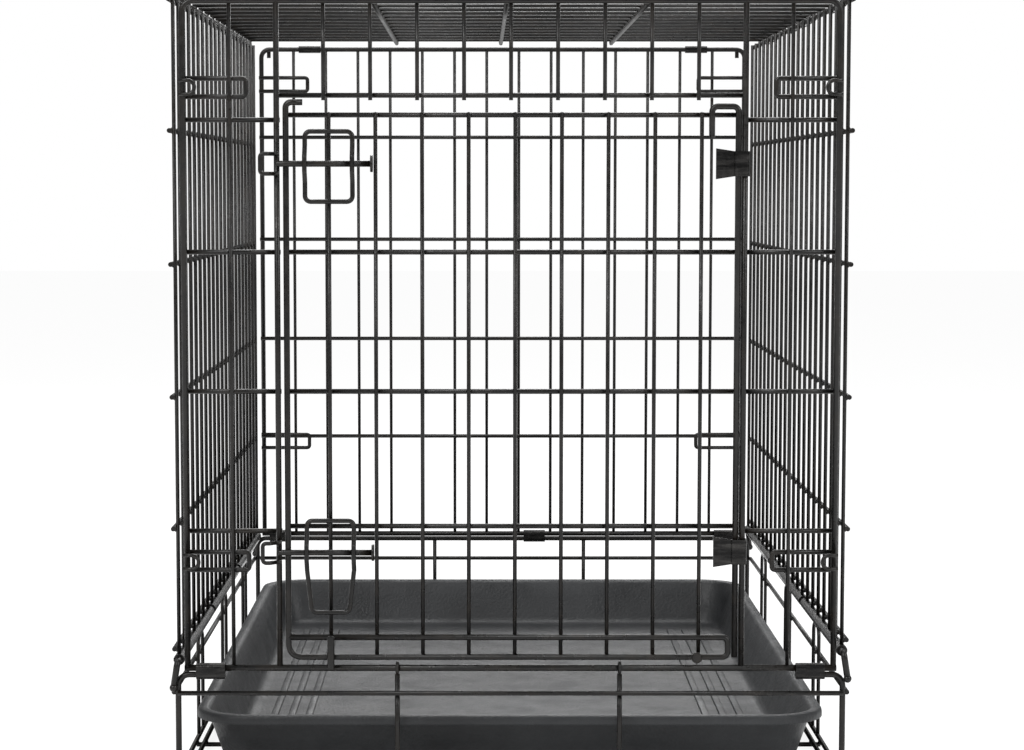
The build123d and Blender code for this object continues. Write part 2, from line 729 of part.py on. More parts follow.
# Roof grille, whose right edge rail is the hinge pin
with BuildPart() as top_panel:
    long_places = [(x, top_rail_z) for x in top_longitudinal_x]
    long_places.append((-side_rail_x, top_rail_z))
    straight_wires(Plane.XZ, long_places, rail_d, side_end_y, both=True)
    round_rod(Plane.XZ, (top_pin_x, top_pin_z), rail_d, side_end_y, both=True)
    cross_places = [(-side_wire_y + i * top_pitch, top_wire_z) for i in range(top_gaps + 1)]
    cross_start = -side_rail_x - rail_d / 2
    cross_length = top_pin_x + rail_d / 2 - cross_start
    straight_wires(Plane.YZ.offset(cross_start), cross_places, wire_d, cross_length)
top_panel.part.label = "top_panel"
export_step(top_panel.part, "parts/top_panel.step")
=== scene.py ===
import json
import math

import bmesh
import bpy
from bpy.props import FloatProperty, FloatVectorProperty, IntProperty, PointerProperty
from mathutils import Matrix, Vector


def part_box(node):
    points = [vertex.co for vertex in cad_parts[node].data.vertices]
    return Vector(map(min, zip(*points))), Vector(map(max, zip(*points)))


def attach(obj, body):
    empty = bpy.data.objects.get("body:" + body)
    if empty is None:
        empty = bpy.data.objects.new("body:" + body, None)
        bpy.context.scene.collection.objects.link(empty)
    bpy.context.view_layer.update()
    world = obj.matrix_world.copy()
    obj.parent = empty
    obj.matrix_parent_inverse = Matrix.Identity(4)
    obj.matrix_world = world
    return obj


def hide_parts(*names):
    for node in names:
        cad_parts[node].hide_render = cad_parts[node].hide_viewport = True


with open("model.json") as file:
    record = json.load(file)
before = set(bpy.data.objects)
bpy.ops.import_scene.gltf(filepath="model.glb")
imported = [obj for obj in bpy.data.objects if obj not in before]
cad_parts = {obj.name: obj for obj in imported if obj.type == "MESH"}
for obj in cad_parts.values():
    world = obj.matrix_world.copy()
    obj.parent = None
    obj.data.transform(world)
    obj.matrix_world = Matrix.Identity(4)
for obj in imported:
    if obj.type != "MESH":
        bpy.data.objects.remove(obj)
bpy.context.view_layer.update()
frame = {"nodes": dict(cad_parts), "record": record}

bl_info = {
    "name": "Folding pet crate",
    "version": (1, 0, 0),
    "blender": (4, 5, 0),
    "location": "View3D > Sidebar > Crate",
    "description": "Builds the wire grilles, latches, pan and finishes of a folding pet crate",
    "category": "Object",
}

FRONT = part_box("front_panel")
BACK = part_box("back_panel")
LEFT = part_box("left_panel")
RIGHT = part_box("right_panel")
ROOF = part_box("top_panel")
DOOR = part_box("door")
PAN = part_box("pan")
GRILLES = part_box("front_grilles")
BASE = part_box("base_frame")
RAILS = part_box("base_rails")
WIRE_SIDES = 12
BEND_STEPS = 6
MERGE = 0.00001
WELD_SINK = 0.0003
RUN_GAP = 0.0003
PASS_GAP = 0.0004
ROD_GAP = 0.0001
LATCHES = ("lower", "upper")
BASE_NODES = ("base_frame", "base_rails", "base_floor_wires", "base_side_hoops", "base_uprights")

# The pan's section. Each step goes further in, then up or down
RIM_STEPS = ((0.0018, 0.0), (0.0018, 0.0), (0.0020, -0.0006), (0.0016, -0.0020))
LIP_STEPS = ((0.0014, 0.0), (0.0002, 0.0040), (0.0046, 0.0005), (0.0012, -0.0020))
FLOOR_STEPS = ((0.0018, -0.0034), (0.0032, -0.0020), (0.0048, -0.0006))
UNDER_STEPS = ((0.0018, -0.0020), (0.0040, -0.0010))

# The pan's walls. Each step goes further in, and down by a share of the wall
INNER_WALL = ((0.0052, 0.4), (0.0072, 0.6))
OUTER_WALL = ((0.0050, 0.4), (0.0075, 0.6))

# The camera, in metres and degrees
CAMERA_PLACE = (-0.022, -2.4439, 0.4349)
CAMERA_TILT = 5.43
CAMERA_LENS = 101.0
CAMERA_SHIFT = (0.031, 0.080)

# Each lamp's name, place, width and power
LAMPS = (
    ("key", (-1.6, -2.4, 2.2), 1.6, 55.0),
    ("fill", (2.2, -1.6, 1.6), 1.6, 30.0),
    ("over", (0.0, 0.3, 2.6), 2.2, 50.0),
    ("behind", (0.4, 2.6, 1.8), 1.8, 30.0),
)
LAMP_AIM = (0.0, 0.0, 0.3)


def size(name, text, default):
    """A length in metres that the user may change."""
    return FloatProperty(name=name, description=text, default=default, unit="LENGTH", precision=4)


def places(name, text, default, subtype="NONE"):
    """Several places in metres that the user may change."""
    count = len(default)
    return FloatVectorProperty(name=name, description=text, size=count, default=default, subtype=subtype)


def tint(name, text, default):
    """A colour that the user may change."""
    return FloatVectorProperty(name=name, description=text, subtype="COLOR", default=default)


class CrateSizes(bpy.types.PropertyGroup):
    """Wire gauges and grid places, in metres."""

    wire: size("Wire", "Diameter of the thin grille wires", 0.0029)
    rail: size("Rail", "Diameter of the cross rails", 0.0036)
    post: size("Post", "Diameter of the frame wires", 0.0044)
    foot_rail: size("Foot rail", "Diameter of the rails that the end panels turn on", 0.0048)
    doorway_post: size("Doorway post", "Diameter of the posts beside the door", 0.0042)
    guide: size("Guide wire", "Diameter of the bolt guides", 0.0034)
    keeper: size("Keeper wire", "Diameter of the bolt keepers", 0.003)
    corner: size("Corner bend", "Bend radius of the frame wires", 0.008)
    curl: size("Curl bend", "Bend radius of the small curls on the door", 0.004)
    hairpin_reach: size("Hairpin reach", "Length of the short loops beside the posts", 0.045)
    hairpin_pitch: size("Hairpin pitch", "Height of the short loops", 0.013)
    hairpin_bend: size("Hairpin bend", "Bend radius of the short loops", 0.0025)
    front_gaps: IntProperty(name="Front gaps", description="Gaps across the front panel", default=14)
    strip_gaps: IntProperty(name="Strip gaps", description="Gaps beside the doorway", default=2)
    back_gaps: IntProperty(name="Back gaps", description="Gaps across the back panel", default=15)
    side_gaps: IntProperty(name="Side gaps", description="Gaps along a side panel", default=20)
    roof_gaps: IntProperty(name="Roof gaps", description="Gaps along the roof", default=15)
    door_wires: IntProperty(name="Door wires", description="Upright wires in the door", default=9)
    front_hinge: size("Front hinge height", "Height of the front foot rail", 0.084)
    back_hinge: size("Back hinge height", "Height of the back foot rail", 0.091)
    side_hinge: size("Side hinge height", "Height that the side rails are counted from", 0.089)
    strips: places(
        "Strip rails",
        "Heights of the rails beside the door, above the front hinge",
        (0.1, 0.2015, 0.302, 0.3965),
        "XYZ_LENGTH",
    )
    header: size("Header", "Height of the rail over the door, above the front hinge", 0.414)
    back_rails: places(
        "Back rails",
        "Heights of the back rails, above the back hinge",
        (0.097, 0.193, 0.29, 0.389),
        "XYZ_LENGTH",
    )
    front_hairpins: places(
        "Front loops",
        "Heights of the short loops on the front panel",
        (0.078, 0.4195),
    )
    back_hairpins: places("Back loops", "Heights of the short loops on the back panel", (0.092, 0.44))
    side_pitch: size("Side pitch", "Height between the rails of a side panel", 0.096)
    roof_long: places("Roof rails", "Places across the roof of its long wires", (-0.103, -0.002, 0.105))
    door_rails: places(
        "Door rails",
        "Heights of the door's rails, above the front hinge",
        (0.1035, 0.2015, 0.302, 0.4),
    )
    door_first: size("First door wire", "Place across of the door's first wire", -0.1305)
    door_pitch: size("Door pitch", "Space between the door's upright wires", 0.0334)
    door_second: size("Second foot rail", "Height of the door's second rail, above the front hinge", 0.0225)
    pan_wall: size("Pan wall", "Thickness of the pan", 0.0025)
    guide_feet: places("Guide feet", "Widths of the two guides at their lower ends", (0.027, 0.034))
    guide_step: size("Guide step", "Height at which a guide steps out over its bolt", 0.009)
    guide_flat: size("Guide flat", "Half height of the guide's straight part over the bolt", 0.005)
    disc: size("Thumb disc", "Diameter of the thumb disc on a bolt", 0.012)
    disc_thick: size("Disc thickness", "Thickness of the thumb disc", 0.0018)
    loop_reach: size("Corner loop reach", "Length of the loops outside the front posts", 0.009)
    loop_height: size("Corner loop height", "Height of the loops outside the front posts", 0.01)
    rod: size("Side rod", "Diameter of the rods that the side panels turn on", 0.0048)
    stub: size("Stub", "Length of the inward ends of the base's front wire", 0.033)
    base_mid: size("Base rail height", "Height of the middle rails of the base", 0.066)
    uprights: places("Front uprights", "Places across of the front uprights", (-0.0824, 0.0795))
    back_uprights: places("Back uprights", "Places across of the back uprights", (-0.067, 0.08))
    floor_wires: IntProperty(name="Floor wires", description="Cross wires under the pan", default=7)
    hoops: places("Side hoops", "Places along the base of the side hoops", (-0.21, 0.0, 0.21))
    hoop_width: size("Hoop width", "Width of a side hoop", 0.035)
    door_curl_reach: size("Door curl", "Length of the curl at the door's top corner", 0.012)
    door_foot_bend: size("Door foot bend", "Bend radius at the door's lower left corner", 0.009)
    arch_width: size("Arch width", "Width of the arch over the door's hinge side", 0.019)
    arch_rise: size("Arch rise", "Height of the arch over the door's top rail", 0.006)
    arch_drop: size("Arch drop", "Length of the arch's end under the top rail", 0.016)
    pan_corner: size("Pan corner", "Radius of the pan's corners", 0.042)
    pan_lip: size("Pan lip", "Height of the pan's rolled lip", 0.007)
    rim_round: size("Rim rounding", "Rounding of the pan's outer top edge", 0.0026)
    lip_round: size("Lip rounding", "Rounding of the lip's lower edge", 0.0008)
    rib_count: IntProperty(name="Ribs", description="Ribs along each side of the pan", default=3)
    rib_inset: size("Rib inset", "Distance of the outer rib from the pan's edge", 0.0445)
    rib_pitch: size("Rib pitch", "Space between ribs", 0.014)
    rib_width: size("Rib width", "Width of a rib", 0.006)
    rib_height: size("Rib thickness", "Thickness of a rib", 0.0022)
    rib_rise: size("Rib rise", "Height of a rib's middle over the pan's floor", 0.0004)
    rib_round: size("Rib rounding", "Rounding of a rib's edges", 0.0009)
    rib_short: size("Rib shortening", "How much shorter a rib is than the pan", 0.139)
    disc_rim: size("Disc rim", "Width of the thumb disc's raised rim", 0.0012)
    disc_dish: size("Disc dish", "Depth of the thumb disc's hollow", 0.0006)
    tip_round: size("Tip rounding", "Rounding of a bolt's tip", 0.0009)
    rod_ball: size("Rod ball", "Diameter of the ball on a side rod's end", 0.006)
    rod_out: size("Rod end", "Distance that a side rod's end leans out", 0.003)
    rod_bend: size("Rod bend", "Bend radius of a side rod", 0.0035)
    low_inset: size("Inner rail inset", "Distance of the inner low rails from the outer ones", 0.007)
    weld: size("Weld", "Diameter of the weld beads where wires cross", 0.0046)


class CrateColours(bpy.types.PropertyGroup):
    """Colours of the finishes."""

    coat_dark: tint("Coat", "Black powder coat", (0.0036, 0.0033, 0.003))
    coat_worn: tint("Thin coat", "Coat where it is thin", (0.015, 0.0115, 0.0085))
    steel_dark: tint("Sheet steel", "Dark coated sheet steel", (0.009, 0.0088, 0.0088))
    steel_bright: tint("Rubbed steel", "Sheet steel where it is rubbed", (0.07, 0.067, 0.064))
    tray_dark: tint("Tray", "Dark grey moulded plastic", (0.013, 0.0138, 0.015))
    # Painted sheen: a paler tray colour that stands in for light glancing off the plastic
    tray_painted_sheen: tint("Tray sheen", "Paler patches of the tray", (0.033, 0.035, 0.0375))
    floor: tint("Floor", "Pale studio floor", (0.9, 0.9, 0.9))


def sizes():
    return bpy.context.scene.crate_sizes


def colours():
    return bpy.context.scene.crate_colours


# Node helpers

def new_material(name):
    """A material with an empty tree, its output and a Principled shader."""
    material = bpy.data.materials.new(name)
    material.use_nodes = True
    tree = material.node_tree
    tree.nodes.clear()
    output = tree.nodes.new("ShaderNodeOutputMaterial")
    shader = tree.nodes.new("ShaderNodeBsdfPrincipled")
    tree.links.new(shader.outputs["BSDF"], output.inputs["Surface"])
    return material, tree, shader


def noise(tree, scale, detail=4.0, roughness=0.5, stretch=(1.0, 1.0, 1.0)):
    """A noise texture on object coordinates."""
    place = tree.nodes.new("ShaderNodeTexCoord")
    mapping = tree.nodes.new("ShaderNodeMapping")
    mapping.inputs["Scale"].default_value = stretch
    texture = tree.nodes.new("ShaderNodeTexNoise")
    texture.inputs["Scale"].default_value = scale
    texture.inputs["Detail"].default_value = detail
    texture.inputs["Roughness"].default_value = roughness
    tree.links.new(place.outputs["Object"], mapping.inputs["Vector"])
    tree.links.new(mapping.outputs["Vector"], texture.inputs["Vector"])
    return texture.outputs["Fac"]


def colour_ramp(tree, value, low, high, low_at, high_at):
    """Two colours blended along a value."""
    ramp = tree.nodes.new("ShaderNodeValToRGB")
    ramp.color_ramp.elements[0].position = low_at
    ramp.color_ramp.elements[0].color = (*low, 1.0)
    ramp.color_ramp.elements[1].position = high_at
    ramp.color_ramp.elements[1].color = (*high, 1.0)
    tree.links.new(value, ramp.inputs["Fac"])
    return ramp.outputs["Color"]


def spread(tree, value, low, high):
    """A value mapped from its middle range to low and high."""
    scale = tree.nodes.new("ShaderNodeMapRange")
    scale.inputs["From Min"].default_value = 0.35
    scale.inputs["From Max"].default_value = 0.65
    scale.inputs["To Min"].default_value = low
    scale.inputs["To Max"].default_value = high
    tree.links.new(value, scale.inputs["Value"])
    return scale.outputs["Result"]


def bump(tree, shader, heights, distance):
    """Bumps from heights, each with its strength."""
    normal = None
    for height, strength in heights:
        node = tree.nodes.new("ShaderNodeBump")
        node.inputs["Strength"].default_value = strength
        node.inputs["Distance"].default_value = distance
        tree.links.new(height, node.inputs["Height"])
        if normal is not None:
            tree.links.new(normal, node.inputs["Normal"])
        normal = node.outputs["Normal"]
    tree.links.new(normal, shader.inputs["Normal"])


def powder_coat():
    """Semi-gloss black powder coat with orange peel and thin brown places."""
    material, tree, shader = new_material("powder_coat")
    patches = noise(tree, 55.0, detail=5.0, roughness=0.6)
    blend = colour_ramp(tree, patches, colours().coat_dark, colours().coat_worn, 0.45, 0.78)
    tree.links.new(blend, shader.inputs["Base Color"])
    tree.links.new(spread(tree, noise(tree, 240.0), 0.26, 0.44), shader.inputs["Roughness"])
    peel = noise(tree, 900.0, detail=2.0)
    waves = noise(tree, 160.0, detail=3.0)
    bump(tree, shader, [(peel, 0.25), (waves, 0.3)], 0.0004)
    shader.inputs["Specular IOR Level"].default_value = 0.38
    return material


def sheet_steel():
    """Dark coated sheet steel, rubbed brighter in fine lines."""
    material, tree, shader = new_material("sheet_steel")
    lines = noise(tree, 120.0, detail=6.0, roughness=0.7, stretch=(0.3, 0.3, 2.5))
    blend = colour_ramp(tree, lines, colours().steel_dark, colours().steel_bright, 0.42, 0.8)
    tree.links.new(blend, shader.inputs["Base Color"])
    tree.links.new(spread(tree, noise(tree, 300.0), 0.18, 0.4), shader.inputs["Roughness"])
    bump(tree, shader, [(noise(tree, 500.0, detail=3.0), 0.2)], 0.0003)
    shader.inputs["Metallic"].default_value = 0.7
    return material


def moulded_plastic():
    """Dark grey moulded plastic with a fine pebbled grain and paler patches of painted sheen."""
    material, tree, shader = new_material("moulded_plastic")
    # Painted sheen: noise patches blend the tray colour towards a paler one that stands in for light on the
    # tray
    patches = noise(tree, 7.0, detail=8.0, roughness=0.65, stretch=(1.0, 0.45, 1.0))
    blend = colour_ramp(tree, patches, colours().tray_dark, colours().tray_painted_sheen, 0.38, 0.72)
    tree.links.new(blend, shader.inputs["Base Color"])
    tree.links.new(spread(tree, noise(tree, 30.0, detail=6.0), 0.36, 0.56), shader.inputs["Roughness"])
    place = tree.nodes.new("ShaderNodeTexCoord")
    pebbles = tree.nodes.new("ShaderNodeTexVoronoi")
    pebbles.inputs["Scale"].default_value = 420.0
    tree.links.new(place.outputs["Object"], pebbles.inputs["Vector"])
    bump(tree, shader, [(pebbles.outputs["Distance"], 0.35), (noise(tree, 60.0, detail=5.0), 0.3)], 0.0006)
    shader.inputs["Specular IOR Level"].default_value = 0.4
    return material


def pale_floor():
    """A pale floor that shows near white to the camera."""
    material, tree, shader = new_material("pale_floor")
    shader.inputs["Base Color"].default_value = (*colours().floor, 1.0)
    shader.inputs["Roughness"].default_value = 0.9
    output = tree.nodes["Material Output"]
    rays = tree.nodes.new("ShaderNodeLightPath")
    share = tree.nodes.new("ShaderNodeMath")
    share.operation = "MULTIPLY"
    share.inputs[1].default_value = 0.75
    tree.links.new(rays.outputs["Is Camera Ray"], share.inputs[0])
    glow = tree.nodes.new("ShaderNodeEmission")
    glow.inputs["Strength"].default_value = 1.18
    mix = tree.nodes.new("ShaderNodeMixShader")
    tree.links.new(share.outputs[0], mix.inputs["Fac"])
    tree.links.new(shader.outputs["BSDF"], mix.inputs[1])
    tree.links.new(glow.outputs["Emission"], mix.inputs[2])
    tree.links.new(mix.outputs["Shader"], output.inputs["Surface"])
    return material


def finish_named(name, make):
    """The material of that name, made once."""
    return bpy.data.materials.get(name) or make()


def coat():
    return finish_named("powder_coat", powder_coat)


def steel():
    return finish_named("sheet_steel", sheet_steel)


def plastic():
    return finish_named("moulded_plastic", moulded_plastic)


# Wire tools

def ring_at(bm, place, direction, diameter):
    """A ring of edges square to a direction."""
    turn = Vector(direction).to_track_quat("Z", "Y").to_matrix().to_4x4()
    matrix = Matrix.Translation(place) @ turn
    radius = diameter / 2
    made = bmesh.ops.create_circle(bm, cap_ends=False, segments=WIRE_SIDES, radius=radius, matrix=matrix)
    return list({edge for vert in made["verts"] for edge in vert.link_edges})


def run_on(bm, ring, move):
    """The ring drawn along a straight run."""
    made = bmesh.ops.extrude_edge_only(bm, edges=ring)
    verts = [item for item in made["geom"] if isinstance(item, bmesh.types.BMVert)]
    bmesh.ops.translate(bm, vec=move, verts=verts)
    return [item for item in made["geom"] if isinstance(item, bmesh.types.BMEdge)]


def bend_on(bm, ring, centre, axis, angle):
    """The ring turned along a bend."""
    verts = list({vert for edge in ring for vert in edge.verts})
    made = bmesh.ops.spin(
        bm, geom=verts + ring, cent=centre, axis=axis, angle=angle, steps=BEND_STEPS, use_duplicate=False
    )
    return [item for item in made["geom_last"] if isinstance(item, bmesh.types.BMEdge)]


def wire(bm, points, diameter, bend=0.0, loop=False):
    """A round wire through points, with rounded corners. A loop's ends meet and have no caps."""
    points = [Vector(point) for point in points]
    bends = bend if isinstance(bend, (list, tuple)) else [bend] * (len(points) - 2)
    here = points[0]
    ring = ring_at(bm, here, points[1] - points[0], diameter)
    if not loop:
        bmesh.ops.edgeloop_fill(bm, edges=ring)
    for i in range(1, len(points) - 1):
        before = (points[i] - points[i - 1]).normalized()
        after = (points[i + 1] - points[i]).normalized()
        angle = before.angle(after)
        axis = before.cross(after).normalized()
        reach = bends[i - 1] * math.tan(angle / 2)
        start = points[i] - before * reach
        ring = run_on(bm, ring, start - here)
        centre = start + axis.cross(before) * bends[i - 1]
        ring = bend_on(bm, ring, centre, axis, angle)
        here = points[i] + after * reach
    ring = run_on(bm, ring, points[-1] - here)
    if not loop:
        bmesh.ops.edgeloop_fill(bm, edges=ring)


def weld_beads(bm, places, diameter):
    """Small round beads where wires are welded."""
    for place in places:
        matrix = Matrix.Translation(place)
        bmesh.ops.create_icosphere(bm, subdivisions=1, radius=diameter / 2, matrix=matrix)


def short_loops(bm, outer_x, y, foot, heights):
    """Short loops on the rails' side of an end panel, beside both posts."""
    s = sizes()
    close_x = outer_x - s.post / 2 - s.hairpin_reach
    for side in (-1, 1):
        for height in heights:
            z_low = foot + height - s.hairpin_pitch / 2
            z_high = foot + height + s.hairpin_pitch / 2
            loop = [
                (side * outer_x, y, z_low),
                (side * close_x, y, z_low),
                (side * close_x, y, z_high),
                (side * outer_x, y, z_high),
            ]
            wire(bm, loop, s.rail, s.hairpin_bend)


def round_edges(bm, edges, offset, segments):
    """Edges rounded off."""
    bmesh.ops.bevel(
        bm, geom=edges, offset=offset, segments=segments, profile=0.5, affect="EDGES", material=-1
    )


def end_face(bm, pick):
    """The face that lies highest, with max, or lowest, with min."""
    return pick(bm.faces, key=lambda face: face.calc_center_median().z)


def step_in(bm, face, inset, rise):
    """A ring round a face, which then moves up or down."""
    bmesh.ops.inset_region(bm, faces=[face], thickness=inset, depth=0.0, use_even_offset=True)
    bmesh.ops.translate(bm, vec=(0, 0, rise), verts=list(face.verts))


def finish_piece(bm, name, body, nodes, material=None):
    """The mesh made an object that rides on a body and stands for CAD nodes."""
    bmesh.ops.remove_doubles(bm, verts=bm.verts, dist=MERGE)
    bmesh.ops.recalc_face_normals(bm, faces=bm.faces)
    mesh = bpy.data.meshes.new(name)
    bm.to_mesh(mesh)
    bm.free()
    for face in mesh.polygons:
        face.use_smooth = len(face.vertices) <= 4
    piece = bpy.data.objects.new(name, mesh)
    bpy.context.scene.collection.objects.link(piece)
    piece.data.materials.append(material or coat())
    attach(piece, body)
    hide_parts(*nodes)
    return piece


def paint_node(name, material):
    """A CAD node with its own finish."""
    node = frame["nodes"][name]
    for slot in node.material_slots:
        slot.material = material
    if not node.material_slots:
        node.data.materials.append(material)


def grid(bm, wires, rails, wire_plane, rail_plane, wire_reach, rail_reach, point):
    """A layer of thin wires, a layer of rails and a bead at each crossing."""
    for a in wires:
        wire(bm, [point(a, end, wire_plane) for end in wire_reach], sizes().wire)
    for b in rails:
        wire(bm, [point(end, b, rail_plane) for end in rail_reach], sizes().rail)
    middle = (wire_plane + rail_plane) / 2
    weld_beads(bm, [point(a, b, middle) for a in wires for b in rails], sizes().weld)


class CRATE_OT_front_panel(bpy.types.Operator):
    """Front grille with its doorway, short loops and foot rail"""

    bl_idname = "crate.front_panel"
    bl_label = "Front panel"

    def execute(self, context):
        s = sizes()
        bm = bmesh.new()
        low, high = FRONT
        post_x = high[0] - s.post / 2
        axis_y = low[1] + s.foot_rail / 2
        foot = s.front_hinge
        top = high[2] - s.post / 2
        rail_y = GRILLES[1][1] - s.rail / 2
        wire_y = GRILLES[1][1] - s.rail - s.wire / 2
        pitch = 2 * post_x / s.front_gaps
        doorway = post_x - s.strip_gaps * pitch
        frame_path = [
            (-post_x, axis_y, foot),
            (-post_x, axis_y, top),
            (post_x, axis_y, top),
            (post_x, axis_y, foot),
        ]
        wire(bm, frame_path, s.post, s.corner)
        wire(bm, [(low[0], axis_y, foot), (high[0], axis_y, foot)], s.foot_rail)
        for x in (-doorway, doorway):
            wire(bm, [(x, axis_y, foot), (x, axis_y, top)], s.doorway_post)
        strip_xs = [side * (post_x - i * pitch) for side in (-1, 1) for i in range(1, s.strip_gaps)]
        for x in strip_xs:
            wire(bm, [(x, wire_y, foot), (x, wire_y, top)], s.wire)
        header = foot + s.header
        over_xs = [-doorway + i * pitch for i in range(1, s.front_gaps - 2 * s.strip_gaps)]
        for x in over_xs:
            wire(bm, [(x, wire_y, header - s.rail), (x, wire_y, top)], s.wire)
        reach = doorway + s.post / 2
        wire(bm, [(-reach, rail_y, header), (reach, rail_y, header)], s.rail)
        weld_y = rail_y - s.rail / 2
        beads = [(x, weld_y, header) for x in over_xs + [-doorway, doorway]]
        for side in (-1, 1):
            inner_x = doorway - s.post / 2
            for height in s.strips:
                z = foot + height
                wire(bm, [(side * inner_x, rail_y, z), (side * high[0], rail_y, z)], s.rail)
                beads += [(side * x, weld_y, z) for x in (doorway, doorway + pitch, post_x)]
            for height in s.front_hairpins:
                middle_z = foot + height
                for z in (middle_z - s.hairpin_pitch / 2, middle_z + s.hairpin_pitch / 2):
                    beads += [(side * x, weld_y, z) for x in (post_x, post_x - pitch)]
        short_loops(bm, high[0], rail_y, foot, s.front_hairpins)
        weld_beads(bm, beads, s.weld)
        finish_piece(bm, "front_grille", "front", ["front_panel", "front_grilles"])
        return {"FINISHED"}


class CRATE_OT_door(bpy.types.Operator):
    """Door grille, with its curl, its foot bend and the arch over its hinge side"""

    bl_idname = "crate.door"
    bl_label = "Door"

    def execute(self, context):
        s = sizes()
        bm = bmesh.new()
        low, high = DOOR
        axis_y = low[1] + s.post / 2
        rail_y = high[1] - s.rail / 2
        wire_y = high[1] - s.rail - s.wire / 2
        left_x = low[0] + s.post / 2
        right_x = high[0] - s.post / 2
        foot = low[2] + s.post / 2
        rails = [s.front_hinge + height for height in s.door_rails]
        top = rails[-1]
        curl_z = high[2] - s.post / 2
        second = s.front_hinge + s.door_second
        foot_end = right_x - s.post - PASS_GAP
        left_path = [
            (left_x + s.door_curl_reach, axis_y, curl_z),
            (left_x, axis_y, curl_z),
            (left_x, axis_y, foot),
            (0, axis_y, foot),
        ]
        wire(bm, left_path, s.post, [s.curl, s.door_foot_bend])
        foot_path = [
            (0, axis_y, foot),
            (foot_end, axis_y, foot),
            (foot_end, axis_y, second),
            (left_x, axis_y, second),
        ]
        wire(bm, foot_path, s.post, s.curl)
        arch_x = right_x - s.arch_width
        arch = [
            (right_x, axis_y, foot),
            (right_x, axis_y, top + s.arch_rise),
            (arch_x, axis_y, top + s.arch_rise),
            (arch_x, axis_y, top - s.arch_drop),
        ]
        wire(bm, arch, s.post, s.curl)
        xs = [s.door_first + i * s.door_pitch for i in range(s.door_wires)]

        def point(a, b, y):
            return (a, y, b)

        upright_reach = (foot, top + s.rail / 2)
        grid(bm, xs, rails, wire_y, rail_y, upright_reach, (low[0], high[0]), point)
        finish_piece(bm, "door_grille", "door", ["door"])
        return {"FINISHED"}


class CRATE_OT_back_panel(bpy.types.Operator):
    """Back grille with its short loops and foot rail"""

    bl_idname = "crate.back_panel"
    bl_label = "Back panel"

    def execute(self, context):
        s = sizes()
        bm = bmesh.new()
        low, high = BACK
        post_x = high[0] - s.post / 2
        axis_y = high[1] - s.foot_rail / 2
        foot = s.back_hinge
        top = high[2] - s.post / 2
        rail_y = low[1] + s.rail / 2
        wire_y = low[1] + s.rail + s.wire / 2
        frame_path = [
            (-post_x, axis_y, foot),
            (-post_x, axis_y, top),
            (post_x, axis_y, top),
            (post_x, axis_y, foot),
        ]
        wire(bm, frame_path, s.post, s.corner)
        wire(bm, [(low[0], axis_y, foot), (high[0], axis_y, foot)], s.foot_rail)
        pitch = 2 * post_x / s.back_gaps
        xs = [-post_x + i * pitch for i in range(1, s.back_gaps)]
        rails = [foot + height for height in s.back_rails]

        def point(a, b, y):
            return (a, y, b)

        grid(bm, xs, rails, wire_y, rail_y, (foot, top), (low[0], high[0]), point)
        short_loops(bm, high[0], rail_y, foot, s.back_hairpins)
        finish_piece(bm, "back_grille", "back", ["back_panel"])
        return {"FINISHED"}


class CRATE_OT_side_panels(bpy.types.Operator):
    """Left and right grilles, with their rails on the outside"""

    bl_idname = "crate.side_panels"
    bl_label = "Side panels"

    def execute(self, context):
        s = sizes()
        for name, side, (low, high) in (("left", -1, LEFT), ("right", 1, RIGHT)):
            bm = bmesh.new()
            inner = min(abs(low[0]), abs(high[0]))
            outer = max(abs(low[0]), abs(high[0]))
            wire_x = side * (inner + s.wire / 2)
            rail_x = side * (outer - s.rail / 2)
            end_y = high[1] - PASS_GAP - s.wire / 2
            ys = [-end_y + i * 2 * end_y / s.side_gaps for i in range(s.side_gaps + 1)]
            top_rail = high[2] - s.rail / 2
            count = int((top_rail - s.side_hinge - s.side_pitch / 2) / s.side_pitch)
            zs = [low[2] + s.rail, top_rail]
            zs += [s.side_hinge + (i + 1) * s.side_pitch for i in range(count)]

            def point(a, b, x):
                return (x, a, b)

            grid(bm, ys, zs, wire_x, rail_x, (low[2], high[2]), (low[1], high[1]), point)
            finish_piece(bm, name + "_grille", name, [name + "_panel"])
        return {"FINISHED"}


class CRATE_OT_roof(bpy.types.Operator):
    """Roof grille, whose right edge rail is its hinge pin"""

    bl_idname = "crate.roof"
    bl_label = "Roof"

    def execute(self, context):
        s = sizes()
        bm = bmesh.new()
        low, high = ROOF
        rail_z = low[2] + s.rail / 2
        wire_z = high[2] - s.wire / 2
        end_y = high[1] - PASS_GAP - s.wire / 2
        ys = [-end_y + i * 2 * end_y / s.roof_gaps for i in range(s.roof_gaps + 1)]
        xs = [low[0] + s.rail / 2] + list(s.roof_long)

        def point(a, b, z):
            return (b, a, z)

        grid(bm, ys, xs, wire_z, rail_z, (low[0], high[0]), (low[1], high[1]), point)
        pin_x = high[0] - s.rail / 2
        pin_z = rail_z + WELD_SINK
        wire(bm, [(pin_x, low[1], pin_z), (pin_x, high[1], pin_z)], s.rail)
        weld_beads(bm, [(pin_x, y, wire_z - s.wire / 2) for y in ys], s.weld)
        finish_piece(bm, "roof_grille", "top", ["top_panel"])
        return {"FINISHED"}


